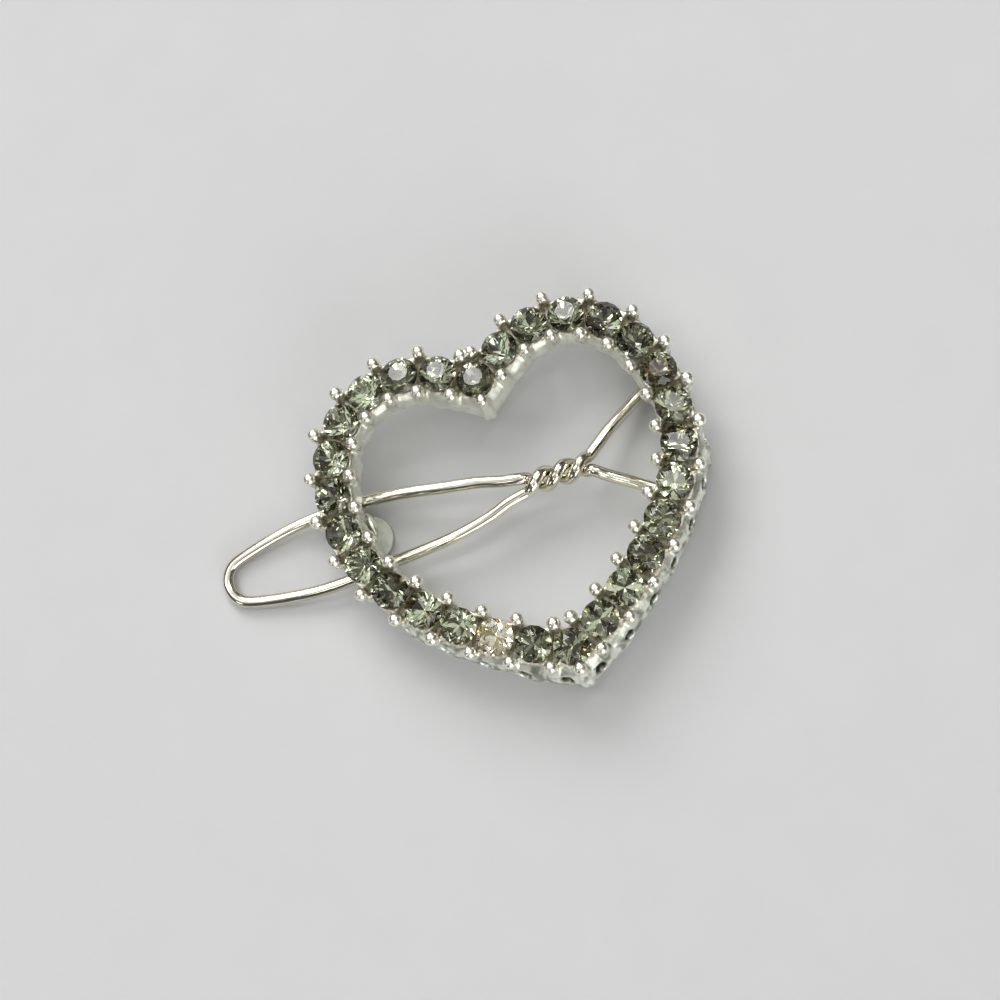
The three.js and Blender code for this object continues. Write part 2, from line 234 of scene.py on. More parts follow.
def add_turned(bm, profile, sides, matrix):
    """A profile of (radius, z) pairs turned about Z. A first or last radius of 0 closes in a point."""
    starts_in_point = profile[0][0] == 0
    ends_in_point = profile[-1][0] == 0
    inner = profile[1 if starts_in_point else 0: len(profile) - 1 if ends_in_point else len(profile)]
    rows = []
    for radius, z in inner:
        angles = [2 * math.pi * k / sides for k in range(sides)]
        ring = [Vector((radius * math.cos(a), radius * math.sin(a), z)) for a in angles]
        rows.append([bm.verts.new(matrix @ point) for point in ring])
    for low, high in zip(rows, rows[1:]):
        for k in range(sides):
            bm.faces.new((low[k], low[(k + 1) % sides], high[(k + 1) % sides], high[k]))
    first = (starts_in_point, list(reversed(rows[0])), profile[0][1])
    last = (ends_in_point, rows[-1], profile[-1][1])
    for is_point, loop, z in (first, last):
        if not is_point:
            bm.faces.new(loop)
            continue
        tip = bm.verts.new(matrix @ Vector((0, 0, z)))
        for k in range(sides):
            bm.faces.new((loop[k], loop[(k + 1) % sides], tip))


def add_prism(bm, outline, low, high, matrix):
    """An outline of (x, y) points, counterclockwise, extruded from low to high."""
    rings = [[matrix @ Vector((x, y, z)) for x, y in outline] for z in (low, high)]
    add_rings(bm, rings)


def arc(cx, cy, radius, start, end, steps):
    """Points along a round stretch, angles in degrees."""
    angles = [math.radians(start + (end - start) * i / steps) for i in range(steps + 1)]
    return [(cx + radius * math.cos(a), cy + radius * math.sin(a)) for a in angles]


def work_object(bm):
    """A temporary object that holds a closed mesh while modifiers shape it."""
    bmesh.ops.recalc_face_normals(bm, faces=bm.faces)
    mesh = bpy.data.meshes.new("work")
    bm.to_mesh(mesh)
    bm.free()
    obj = bpy.data.objects.new("work", mesh)
    bpy.context.scene.collection.objects.link(obj)
    return obj


def apply_modifiers(obj):
    """Replaces the object's mesh with what its modifiers make of it."""
    bpy.context.view_layer.update()
    depsgraph = bpy.context.evaluated_depsgraph_get()
    mesh = bpy.data.meshes.new_from_object(obj.evaluated_get(depsgraph))
    obj.modifiers.clear()
    obj.data = mesh


def remesh(obj, voxel):
    modifier = obj.modifiers.new("even_skin", "REMESH")
    modifier.mode = "VOXEL"
    modifier.voxel_size = voxel
    modifier.use_smooth_shade = True
    apply_modifiers(obj)


def cut(obj, bm):
    cutter = work_object(bm)
    modifier = obj.modifiers.new("cut", "BOOLEAN")
    modifier.operation = "DIFFERENCE"
    modifier.solver = "MANIFOLD"
    modifier.object = cutter
    apply_modifiers(obj)
    bpy.data.objects.remove(cutter)


def smooth(obj, repeats):
    modifier = obj.modifiers.new("polish", "SMOOTH")
    modifier.factor = SMOOTH_FACTOR
    modifier.iterations = repeats
    apply_modifiers(obj)


def finish_piece(obj, name, matrix, material, body, node=None):
    obj.name = name
    obj.data.name = name
    obj.data.transform(TO_ROW @ matrix)
    obj.data.materials.clear()
    obj.data.materials.append(material)
    for polygon in obj.data.polygons:
        polygon.use_smooth = True
    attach(obj, body)
    if node:
        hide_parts(node)


# ---- Materials ----

# Noise between these two levels is spread over the whole range of what it varies.
NOISE_LEVELS = (0.3, 0.7)


class Nodes:
    """A small helper that adds nodes to a material and links them by socket name."""

    def __init__(self, name):
        self.material = bpy.data.materials.new(name)
        self.material.use_nodes = True
        self.tree = self.material.node_tree
        self.shader = self.tree.nodes["Principled BSDF"]

    def add(self, kind, inputs=None, **settings):
        node = self.tree.nodes.new(kind)
        for key, value in settings.items():
            setattr(node, key, value)
        for key, value in (inputs or {}).items():
            self.set(node, key, value)
        return node

    def set(self, node, key, value):
        if isinstance(value, bpy.types.NodeSocket):
            self.tree.links.new(value, node.inputs[key])
        else:
            node.inputs[key].default_value = value

    def math(self, operation, first, second):
        return self.add("ShaderNodeMath", {0: first, 1: second}, operation=operation).outputs[0]

    def noise(self, scale_mm, detail):
        """Noise whose features are about scale_mm across."""
        place = self.add("ShaderNodeTexCoord").outputs["Object"]
        inputs = {"Vector": place, "Scale": 1 / (scale_mm * MM), "Detail": detail}
        return self.add("ShaderNodeTexNoise", inputs).outputs["Fac"]

    def spread(self, value, low, high, to_low, to_high):
        """Maps a value from one range to another and clamps it."""
        inputs = {"Value": value, "From Min": low, "From Max": high}
        inputs.update({"To Min": to_low, "To Max": to_high})
        return self.add("ShaderNodeMapRange", inputs).outputs["Result"]

    def uneven(self, noise, limits):
        """A value that wanders between two limits with a noise given as (scale_mm, detail)."""
        return self.spread(self.noise(*noise), *NOISE_LEVELS, *limits)

    def mix(self, factor, first, second):
        node = self.add("ShaderNodeMix", data_type="RGBA")
        self.set(node, 0, factor)
        for index, colour in ((6, first), (7, second)):
            self.set(node, index, colour)
        return node.outputs[2]

    def bump(self, height, depth_mm, strength, normal=None):
        inputs = {"Height": height, "Distance": depth_mm * MM, "Strength": strength}
        if normal is not None:
            inputs["Normal"] = normal
        return self.add("ShaderNodeBump", inputs).outputs["Normal"]


# The values of each material stand above its function. Noise is given as (size of its features in
# millimetres, detail), a bump as (depth in millimetres, strength), and levels, heights and roughness
# as (low, high). Of a metal's two colours the first is the clean plating and the second its stains.

WALL_COLOURS = ((0.93, 0.95, 0.85, 1), (0.33, 0.37, 0.29, 1))
WALL_ROUGHNESS = (0.30, 0.50)
FITTING_COLOURS = ((0.56, 0.58, 0.51, 1), (0.36, 0.37, 0.30, 1))
FITTING_ROUGHNESS = (0.45, 0.65)
HOLLOW_COLOUR = (0.24, 0.23, 0.17, 1)
HOLLOW_POINTINESS = (0.40, 0.49)
HOLLOW_MOST = 0.6
BLOTCH_NOISE = (0.8, 5)
BLOTCH_LEVELS = (0.45, 0.63)
# The blotches are stains. The inner wall keeps only this share of them, so it is painted lighter than the
# outer wall: painted light from the bright floor it faces.
INNER_SIDE_BLOTCH_SHARE_PAINTED_LIGHTER = 0.25
# The seats are mottled between brown grime and near-white patches. The near-white patches are painted
# reflections of the stones' facets.
SEAT_GRIME_AND_PAINTED_REFLECTION_COLOURS = ((0.46, 0.41, 0.29, 1), (1.0, 0.98, 0.86, 1))
SEAT_GRIME_AND_REFLECTION_NOISE = (0.35, 3)
SEAT_GRIME_AND_REFLECTION_LEVELS = (0.35, 0.65)
SEAT_ROUGHNESS = 0.42
# Painted shade: the seats darken towards this near black between these heights, darkest deep down under
# the stones.
SEAT_PAINTED_SHADE_COLOUR = (0.07, 0.065, 0.045, 1)
SEAT_PAINTED_SHADE_HEIGHTS = (2.8, 3.7)
SEAT_PAINTED_SHADE_MOST = 0.9
CAST_ROUGHNESS_NOISE = (0.5, 4)
CAST_WAVE_NOISE = (0.8, 3)
CAST_WAVE_BUMP = (0.08, 0.6)
CAST_GRAIN_NOISE = (0.16, 3)
CAST_GRAIN_BUMP = (0.014, 0.6)


def cast_plating(name, roughness, clean, stained):
    """Plating over a cast surface: uneven and grainy, dull and dark in the hollows and seats, with
    painted shade deep in the seats, painted reflections in their mottle and the inner wall painted
    lighter than the outer.
    """
    n = Nodes(name)
    pointiness = n.add("ShaderNodeNewGeometry").outputs["Pointiness"]
    hollow = n.spread(pointiness, *HOLLOW_POINTINESS, HOLLOW_MOST, 0)
    outer_side = n.add("ShaderNodeAttribute", attribute_name="outer_side").outputs["Fac"]
    blotch = n.spread(n.noise(*BLOTCH_NOISE), *BLOTCH_LEVELS, 0, 1)
    # Painted light: the inner wall keeps only a share of the stains, so it is painted lighter than the
    # outer wall.
    blotch = n.math("MULTIPLY", blotch, n.spread(outer_side, 0, 1, INNER_SIDE_BLOTCH_SHARE_PAINTED_LIGHTER, 1))
    wall = n.mix(blotch, clean, stained)
    # Seat mottle: brown grime, with near-white painted reflections of the stones' facets.
    seat = n.mix(n.spread(n.noise(*SEAT_GRIME_AND_REFLECTION_NOISE), *SEAT_GRIME_AND_REFLECTION_LEVELS, 0, 1), *SEAT_GRIME_AND_PAINTED_REFLECTION_COLOURS)
    # Painted shade: deeper in the seats, under the stones, the colour goes towards near black.
    place = n.add("ShaderNodeTexCoord").outputs["Object"]
    height = n.add("ShaderNodeSeparateXYZ", {0: place}).outputs["Z"]
    low, high = [z * MM for z in SEAT_PAINTED_SHADE_HEIGHTS]
    seat = n.mix(n.spread(height, low, high, SEAT_PAINTED_SHADE_MOST, 0), seat, SEAT_PAINTED_SHADE_COLOUR)
    inside_seat = n.add("ShaderNodeAttribute", attribute_name="inside_seat").outputs["Fac"]
    surface = n.mix(inside_seat, wall, seat)
    n.set(n.shader, "Base Color", n.mix(hollow, surface, HOLLOW_COLOUR))
    rough = n.uneven(CAST_ROUGHNESS_NOISE, roughness)
    dull = n.spread(inside_seat, 0, 1, 0, SEAT_ROUGHNESS)
    n.set(n.shader, "Roughness", n.math("MAXIMUM", rough, dull))
    n.set(n.shader, "Metallic", 1)
    wave = n.bump(n.noise(*CAST_WAVE_NOISE), *CAST_WAVE_BUMP)
    n.set(n.shader, "Normal", n.bump(n.noise(*CAST_GRAIN_NOISE), *CAST_GRAIN_BUMP, wave))
    return n.material


# How noise is turned into stains on the beads and the wire.
STAIN_LEVELS = (0.5, 0.8)

BEAD_COLOURS = ((0.97, 0.94, 0.83, 1), (0.72, 0.69, 0.56, 1))
BEAD_STAIN_NOISE = (0.7, 3)
BEAD_STAIN_MOST = 0.5
BEAD_ROUGHNESS = (0.24, 0.36)
BEAD_ROUGHNESS_NOISE = (0.3, 3)
BEAD_PIT_NOISE = (0.35, 2)
BEAD_PIT_BUMP = (0.008, 0.3)


def bead_plating():
    """The beads on the prongs: rounder and brighter than the walls, with a few faint pits."""
    n = Nodes("bead_plating")
    stain = n.spread(n.noise(*BEAD_STAIN_NOISE), *STAIN_LEVELS, 0, BEAD_STAIN_MOST)
    n.set(n.shader, "Base Color", n.mix(stain, *BEAD_COLOURS))
    n.set(n.shader, "Roughness", n.uneven(BEAD_ROUGHNESS_NOISE, BEAD_ROUGHNESS))
    n.set(n.shader, "Metallic", 1)
    n.set(n.shader, "Normal", n.bump(n.noise(*BEAD_PIT_NOISE), *BEAD_PIT_BUMP))
    return n.material


WIRE_COLOURS = ((0.91, 0.87, 0.74, 1), (0.66, 0.61, 0.44, 1))
WIRE_STAIN_NOISE = (2.2, 4)
WIRE_STAIN_MOST = 0.6
DRAW_LINE_COLOUR = (0.36, 0.34, 0.25, 1)
DRAW_LINE_LEVELS = (0.48, 0.60)
DRAW_LINE_MOST = 0.9
DRAW_LINE_BUMP = (0.025, 0.5)
# The lines follow the wire's own drawn_grain attribute, so this noise has a plain scale.
DRAW_LINE_NOISE = {"Scale": 2.6, "Detail": 4}
WIRE_ROUGHNESS = (0.08, 0.16)
WIRE_ROUGHNESS_NOISE = (0.8, 4)
WIRE_GRAIN_NOISE = (0.25, 3)
WIRE_GRAIN_BUMP = (0.006, 0.3)


def wire_plating():
    """Drawn wire: bright, with draw lines along it and slight stains."""
    n = Nodes("wire_plating")
    along = n.add("ShaderNodeAttribute", attribute_name="drawn_grain").outputs["Vector"]
    lines = n.add("ShaderNodeTexNoise", {"Vector": along, **DRAW_LINE_NOISE}).outputs["Fac"]
    line = n.spread(lines, *DRAW_LINE_LEVELS, 0, DRAW_LINE_MOST)
    stain = n.spread(n.noise(*WIRE_STAIN_NOISE), *STAIN_LEVELS, 0, WIRE_STAIN_MOST)
    n.set(n.shader, "Base Color", n.mix(line, n.mix(stain, *WIRE_COLOURS), DRAW_LINE_COLOUR))
    n.set(n.shader, "Roughness", n.uneven(WIRE_ROUGHNESS_NOISE, WIRE_ROUGHNESS))
    n.set(n.shader, "Metallic", 1)
    grain = n.bump(n.noise(*WIRE_GRAIN_NOISE), *WIRE_GRAIN_BUMP)
    n.set(n.shader, "Normal", n.bump(lines, *DRAW_LINE_BUMP, grain))
    return n.material


GLASS_COLOURS = ((0.86, 0.88, 0.80, 1), (0.95, 0.96, 0.90, 1))
GLASS_STREAK_NOISE = (1.1, 2)
GLASS_ROUGHNESS = (0.01, 0.06)
GLASS_MARK_NOISE = (0.25, 4)
GLASS_MARK_LEVELS = (0.4, 0.75)
GLASS_IOR = 1.56


def stone_glass():
    """Smoky glass crown: clear to look into, with faint streaks and handling marks."""
    n = Nodes("smoky_glass_crown")
    n.set(n.shader, "Base Color", n.mix(n.uneven(GLASS_STREAK_NOISE, (0, 1)), *GLASS_COLOURS))
    marks = n.spread(n.noise(*GLASS_MARK_NOISE), *GLASS_MARK_LEVELS, *GLASS_ROUGHNESS)
    n.set(n.shader, "Roughness", marks)
    n.set(n.shader, "Transmission Weight", 1)
    n.set(n.shader, "IOR", GLASS_IOR)
    return n.material


# A foil's two colours are those of its darkest and its palest facets: painted reflections, standing in
# for the dark and bright things each facet mirrors.
FOIL_PAINTED_REFLECTION_COLOURS = ((0.085, 0.068, 0.034, 1), (0.95, 1.0, 0.86, 1))
CREAM_FOIL_PAINTED_REFLECTION_COLOURS = ((0.60, 0.52, 0.36, 1), (1.0, 0.99, 0.93, 1))
TEAL_PAINTED_FLASH = (0.50, 0.66, 0.62, 1)
BROWN_PAINTED_FLASH = (0.42, 0.26, 0.12, 1)
FOIL_GRAIN = (-0.05, 0.05)
FOIL_GRAIN_NOISE = (0.2, 3)
FOIL_ROUGHNESS = (0.02, 0.08)
FOIL_ROUGHNESS_NOISE = (0.4, 2)
FOIL_WAVE_NOISE = (0.7, 2)
FOIL_WAVE_BUMP = (0.015, 0.2)


def stone_foil(name, dark, pale):
    """The foil on a stone's back, with painted reflections: each facet is painted its own tone, and a few
    get a brown or teal painted flash.
    """
    n = Nodes(name)
    painted_reflection = n.add("ShaderNodeAttribute", attribute_name="facet_painted_reflection").outputs["Fac"]
    painted_flash = n.add("ShaderNodeAttribute", attribute_name="facet_painted_flash").outputs["Fac"]
    # Painted reflections: the facet's painted tone, grained, then the rare teal or brown painted flash.
    colour = n.mix(n.math("ADD", painted_reflection, n.uneven(FOIL_GRAIN_NOISE, FOIL_GRAIN)), dark, pale)
    colour = n.mix(n.spread(painted_flash, 0, 1, 0, 1), colour, TEAL_PAINTED_FLASH)
    colour = n.mix(n.spread(painted_flash, -1, 0, 1, 0), colour, BROWN_PAINTED_FLASH)
    n.set(n.shader, "Base Color", colour)
    n.set(n.shader, "Roughness", n.uneven(FOIL_ROUGHNESS_NOISE, FOIL_ROUGHNESS))
    n.set(n.shader, "Metallic", 1)
    n.set(n.shader, "Normal", n.bump(n.noise(*FOIL_WAVE_NOISE), *FOIL_WAVE_BUMP))
    return n.material


PAPER_COLOURS = ((0.575, 0.575, 0.575, 1), (0.585, 0.585, 0.585, 1))
PAPER_NOISE = (6, 4)
PAPER_ROUGHNESS = 0.9
PAPER_SHINE = 0.2


def floor_paper():
    """Plain pale paper, very slightly mottled."""
    n = Nodes("pale_paper")
    n.set(n.shader, "Base Color", n.mix(n.uneven(PAPER_NOISE, (0, 1)), *PAPER_COLOURS))
    n.set(n.shader, "Roughness", PAPER_ROUGHNESS)
    n.set(n.shader, "Specular IOR Level", PAPER_SHINE)
    return n.material


# ---- The casting ----

# How far the walls' rims and feet stand from the middle line. The outer foot widens and the inner one
# narrows between two places, counted in stones from the notch.
WALL_TOP = 1.5
WALL_FOOT_OUT = 2.07
WALL_FOOT_UPPER = 1.3
WALL_WIDENS_RIGHT = (7, 8.2)
WALL_WIDENS_LEFT = (8.8, 10)
WALL_FOOT_IN = 2.0
WALL_FOOT_IN_LOWER = 1.55
INNER_NARROWS = (5.2, 7.0)
WALL_BULGE = 0.18
TIP_FLARE = 0.62
NOTCH_FLARE = 0.35
FLARE_REACH = 1.5
RAIL_STEPS = 210
CORNER_GAP = 0.45
# The section's corners: how far the bottom edge is rounded, the foot and the middle of each slope as
# (share of the foot's offset, height above the bottom), and how far the rim is rounded.
BOTTOM_ROUND_IN = 0.08
BOTTOM_ROUND_UP = 0.15
SLOPE_FOOT = (0.97, 0.7)
SLOPE_MIDDLE_OUT = (0.55, 1.5)
SLOPE_MIDDLE_IN = (0.55, 1.6)
RIM_ROUND = 0.15
RIM_DROP_OUT = 0.1
RIM_RISE_IN = 0.12
RIM_EDGE = 0.05


def flare(stones, at, most):
    """How much further out the wall's foot runs near a corner of the heart."""
    away = min(abs(stones % STONE_COUNT - at), STONE_COUNT - abs(stones % STONE_COUNT - at))
    return most * math.exp(-((away / FLARE_REACH) ** 2))


def wall_offsets(stones):
    """How far the feet of the outer and inner wall stand from the middle line."""
    bulge = WALL_BULGE * math.cos(math.pi * stones) ** 2
    from_notch = min(stones % STONE_COUNT, STONE_COUNT - stones % STONE_COUNT)
    on_right = stones % STONE_COUNT <= TIP
    widened = smoothstep(from_notch, *(WALL_WIDENS_RIGHT if on_right else WALL_WIDENS_LEFT))
    foot = WALL_FOOT_UPPER + (WALL_FOOT_OUT - WALL_FOOT_UPPER) * widened
    out = foot + bulge + flare(stones, TIP, TIP_FLARE)
    narrowed = smoothstep(from_notch, *INNER_NARROWS)
    inner_foot = WALL_FOOT_IN + (WALL_FOOT_IN_LOWER - WALL_FOOT_IN) * narrowed
    return out, -(inner_foot + bulge + flare(stones, 0, NOTCH_FLARE))


def rail_section(stones):
    """The wall's cross-section as (offset, z): two walls that slope out to the foot."""
    out, inside = wall_offsets(stones)
    top = WALL_TOP
    foot_share, foot_up = SLOPE_FOOT
    out_share, out_up = SLOPE_MIDDLE_OUT
    in_share, in_up = SLOPE_MIDDLE_IN
    return [
        (inside + BOTTOM_ROUND_IN, RAIL_BOTTOM),
        (out - BOTTOM_ROUND_IN, RAIL_BOTTOM),
        (out, RAIL_BOTTOM + BOTTOM_ROUND_UP),
        (out * foot_share, RAIL_BOTTOM + foot_up),
        (out * out_share + top * (1 - out_share), RAIL_BOTTOM + out_up),
        (top, RAIL_TOP - RIM_DROP_OUT),
        (top - RIM_ROUND, RAIL_TOP - RIM_EDGE),
        (-top + RIM_ROUND, RAIL_TOP + RIM_RISE_IN),
        (-top, RAIL_TOP + RIM_RISE_IN - RIM_EDGE),
        (inside * in_share - top * (1 - in_share), RAIL_BOTTOM + in_up),
        (inside * foot_share, RAIL_BOTTOM + foot_up),
        (inside, RAIL_BOTTOM + BOTTOM_ROUND_UP),
    ]


def add_rail(bm):
    span = TIP - 2 * CORNER_GAP
    side = [CORNER_GAP + span * i / RAIL_STEPS for i in range(RAIL_STEPS + 1)]
    stations = [0, *side, TIP, *[STONE_COUNT - s for s in reversed(side)]]
    rings = [[offset_place(s, d, z) for d, z in rail_section(s)] for s in stations]
    add_rings(bm, rings, closed=True)


PILLAR_SIDES = 16
PILLAR_SQUARENESS = 0.5


def squarish(half_along, half_across):
    """A rounded rectangle as a superellipse."""
    points = []
    for k in range(PILLAR_SIDES):
        a = 2 * math.pi * k / PILLAR_SIDES
        c, s = math.cos(a), math.sin(a)
        x = half_along * math.copysign(abs(c) ** PILLAR_SQUARENESS, c)
        y = half_across * math.copysign(abs(s) ** PILLAR_SQUARENESS, s)
        points.append((x, y))
    return points


def upright(stones, distance):
    """A frame for something that stands on the rail: X along the heart, Y outward."""
    place = offset_place(stones, distance, 0)
    return Matrix.Translation(place) @ Matrix.Rotation(facing(stones), 4, "Z")


# The least distance of a pillar's foot from the middle line, its half sizes as (along the heart, across
# it), the heights of its lower levels above the rail's bottom, and how far those levels are set in.
PILLAR_FOOT_LEAST = 1.7
PILLAR_FOOT_HALF = (0.54, 0.44)
PILLAR_WAIST_HALF = (0.46, 0.40)
PILLAR_TOP_HALF = (0.34, 0.34)
PILLAR_START = 0.02
PILLAR_STRAIGHT = 0.7
PILLAR_WAIST = 1.6
PILLAR_TOP_Z = 4.9
PILLAR_INSETS = (0.38, 0.42, 0.18)
PILLAR_LEAN = 0.45


def add_pillar(bm, stones, side):
    """The column under a prong: it stands a little proud of the wall and leans in to the bead."""
    foot = wall_offsets(stones)[0 if side > 0 else 1]
    foot = side * max(abs(foot), PILLAR_FOOT_LEAST)
    top = side * PRONG_OFFSET
    low, middle, high = [side * inset for inset in PILLAR_INSETS]
    waist = foot * PILLAR_LEAN + top * (1 - PILLAR_LEAN) - high
    levels = [
        (RAIL_BOTTOM + PILLAR_START, foot - low, PILLAR_FOOT_HALF),
        (RAIL_BOTTOM + PILLAR_STRAIGHT, foot - middle, PILLAR_FOOT_HALF),
        (RAIL_BOTTOM + PILLAR_WAIST, waist, PILLAR_WAIST_HALF),
        (PILLAR_TOP_Z, top, PILLAR_TOP_HALF),
    ]
    rings = []
    for z, distance, half in levels:
        matrix = upright(stones, distance)
        rings.append([matrix @ Vector((x, y, z)) for x, y in squarish(*half)])
    add_rings(bm, rings)


def prong_places():
    """(stones, side) of every prong: both sides of each gap, the notch's inner and tip's outer corner."""
    places = [(0, -1), (TIP, 1)]
    for stone in range(STONE_COUNT):
        places += [(stone + 0.5, 1), (stone + 0.5, -1)]
    return places


# Radii, and heights from the middle of the stone's girdle.
SEAT_HOLE_RADIUS = 0.78
SEAT_HOLE_TOP = -1.55
SEAT_CONE_EDGE = (1.44, -0.45)
SEAT_RADIUS = 1.56
SEAT_LEDGE = -0.2
SEAT_CUT = (-6, 3)
SEAT_SIDES = 40


def add_seat_cutter(bm, stone):
    """The cone for the stone's back with a round hole through to the clip's back."""
    low, high = SEAT_CUT
    profile = [
        (0, low),
        (SEAT_HOLE_RADIUS, low),
        (SEAT_HOLE_RADIUS, SEAT_HOLE_TOP),
        SEAT_CONE_EDGE,
        (SEAT_RADIUS, SEAT_LEDGE),
        (SEAT_RADIUS, high),
        (0, high),
    ]
    add_turned(bm, profile, SEAT_SIDES, seat_matrix(stone))


# The gap's outline as (along the heart, z): narrow at its floor and as wide as the prongs allow above.
GAP_OUTLINE = [(-0.24, 3.5), (0.24, 3.5), (0.6, 5), (0.6, 6), (-0.6, 6), (-0.6, 5)]
GAP_REACH = 1.25


def add_gap(bm, stones):
    """The open notch between two seats, from one prong to the other."""
    add_prism(bm, GAP_OUTLINE, -GAP_REACH, GAP_REACH, upright(stones, 0) @ UPRIGHT_PLANE)


# Shifts are counted in stones, back from the stone towards the notch, and depths from the middle line.
WINDOW_SHIFT = 0.17
WINDOW_Z = 3.2
WINDOW_ALONG = 0.55
WINDOW_UP = 0.52
WINDOW_DEPTH = (1.0, 4.2)
WINDOW_STEPS = 20
NICK_RADIUS = 0.24
NICK_STEPS = 14
OUTER_NICK_DEPTH = (1.3, 4.2)
INNER_NICK_DEPTH = (1.4, 3.6)
OUTER_NICK_UP = 0.05
INNER_NICK_UP = 0.02
INNER_NICK_SHIFT = 0.2


def side_cutter_matrix(stones, side, z):
    place = offset_place(stones, 0, z)
    turn = Matrix.Rotation(facing(stones), 4, "Z")
    return Matrix.Translation(place) @ turn @ Matrix.Rotation(-side * math.pi / 2, 4, "X")


def add_windows(bm):
    """Oval windows in the outer wall and small nicks in both walls' lower edges."""
    for stone in range(1, TIP + 1):
        for mirror in (1, -1):
            stones = (stone - WINDOW_SHIFT) * mirror
            oval = [(WINDOW_ALONG * x, WINDOW_UP * y) for x, y in arc(0, 0, 1, 0, 360, WINDOW_STEPS)[:-1]]
            add_prism(bm, oval, *WINDOW_DEPTH, side_cutter_matrix(stones, 1, WINDOW_Z))
            nick = arc(0, 0, NICK_RADIUS, 0, 360, NICK_STEPS)[:-1]
            outer_at = (stone - 0.5 - WINDOW_SHIFT) * mirror
            outer_z = RAIL_BOTTOM + OUTER_NICK_UP
            add_prism(bm, nick, *OUTER_NICK_DEPTH, side_cutter_matrix(outer_at, 1, outer_z))
            inner_at = (stone - INNER_NICK_SHIFT) * mirror
            inner_z = RAIL_BOTTOM + INNER_NICK_UP
            add_prism(bm, nick, *INNER_NICK_DEPTH, side_cutter_matrix(inner_at, -1, inner_z))


MIDDLE_LINE_STEPS = 50
INSIDE_DEPTH = (0.1, 0.32)
INSIDE_FLOOR = (2.5, 2.8)
BACK_SKIN = RAIL_BOTTOM + 0.1
RIM_DEPTH = 0.3
RIM_RISE = (3.5, 4.2)


def mark_inside(mesh):
    """Writes two attributes: how deep a vertex is under the walls' skin, from 0 on it to 1 well
    inside, and whether it is on the outer wall rather than the inner wall or the back."""
    count = STONE_COUNT * MIDDLE_LINE_STEPS
    tree = KDTree(count)
    for i in range(count):
        x, y, _ = heart_place(i / MIDDLE_LINE_STEPS)
        tree.insert((x, y, 0), i)
    tree.balance()
    values, sides = [], []
    for vertex in mesh.vertices:
        x, y, z = vertex.co
        middle, index, distance = tree.find((x, y, 0))
        stones = index / MIDDLE_LINE_STEPS
        _, _, heading = heart_place(stones)
        outward = (x - middle.x) * -math.sin(heading) + (y - middle.y) * math.cos(heading)
        foot = abs(wall_offsets(stones)[0 if outward > 0 else 1])
        skin = foot + (WALL_TOP - foot) * smoothstep(z, RAIL_BOTTOM, RAIL_TOP)
        depth = skin - distance + RIM_DEPTH * smoothstep(z, *RIM_RISE)
        values.append(smoothstep(depth, *INSIDE_DEPTH) * smoothstep(z, *INSIDE_FLOOR))
        sides.append(1.0 if outward > 0 and z > BACK_SKIN else 0.0)
    mesh.attributes.new("inside_seat", "FLOAT", "POINT").data.foreach_set("value", values)
    mesh.attributes.new("outer_side", "FLOAT", "POINT").data.foreach_set("value", sides)


CAST_FIRST_VOXEL = 0.12
CAST_LAST_VOXEL = 0.11
CAST_SMOOTHING = 3


def cast_heart(material):
    bm = bmesh.new()
    add_rail(bm)
    for stones, side in prong_places():
        add_pillar(bm, stones, side)
    obj = work_object(bm)
    remesh(obj, CAST_FIRST_VOXEL)
    for first in (0, 1):
        seats = bmesh.new()
        for stone in range(first, STONE_COUNT, 2):
            add_seat_cutter(seats, stone)
        cut(obj, seats)
    gaps = bmesh.new()
    for stone in range(STONE_COUNT):
        add_gap(gaps, stone + 0.5)
    cut(obj, gaps)
    windows = bmesh.new()
    add_windows(windows)
    cut(obj, windows)
    remesh(obj, CAST_LAST_VOXEL)
    smooth(obj, CAST_SMOOTHING)
    mark_inside(obj.data)
    finish_piece(obj, "cast_heart", Matrix(), material, "frame", "heart_frame")


# ---- The prongs ----

POST_Z = 3.9
POST_FOOT_RADIUS = 0.42
POST_NECK_RADIUS = 0.38
POST_NECK_DROP = 0.05
PRONG_SIDES = 24
BEAD_STEPS = 10
BEAD_START = -58
BEAD_FLATNESS = 0.94
BEAD_SIZE_SPREAD = (0.94, 1.06)
BEAD_HEIGHT_SPREAD = 0.05
PRONG_SEED = 28


def add_prong(bm, stones, side, rng):
    """A round post with a bead on its end, each a little different as raised by hand."""
    rise = -side * PRONG_OFFSET * math.sin(math.radians(SEAT_CANT))
    size = BEAD_RADIUS * rng.uniform(*BEAD_SIZE_SPREAD)
    middle = BEAD_Z + rise + rng.uniform(-BEAD_HEIGHT_SPREAD, BEAD_HEIGHT_SPREAD)
    neck_z = middle - size - POST_NECK_DROP
    profile = [(0, POST_Z), (POST_FOOT_RADIUS, POST_Z), (POST_NECK_RADIUS, neck_z)]
    for i in range(BEAD_STEPS):
        angle = math.radians(BEAD_START + (90 - BEAD_START) * i / BEAD_STEPS)
        profile.append((size * math.cos(angle), middle + BEAD_FLATNESS * size * math.sin(angle)))
    profile.append((0, middle + BEAD_FLATNESS * size))
    add_turned(bm, profile, PRONG_SIDES, upright(stones, side * PRONG_OFFSET))


def prong_beads(material):
    rng = random.Random(PRONG_SEED)
    bm = bmesh.new()
    for stones, side in prong_places():
        add_prong(bm, stones, side, rng)
    obj = work_object(bm)
    finish_piece(obj, "prong_beads", Matrix(), material, "frame")


# ---- The stones ----

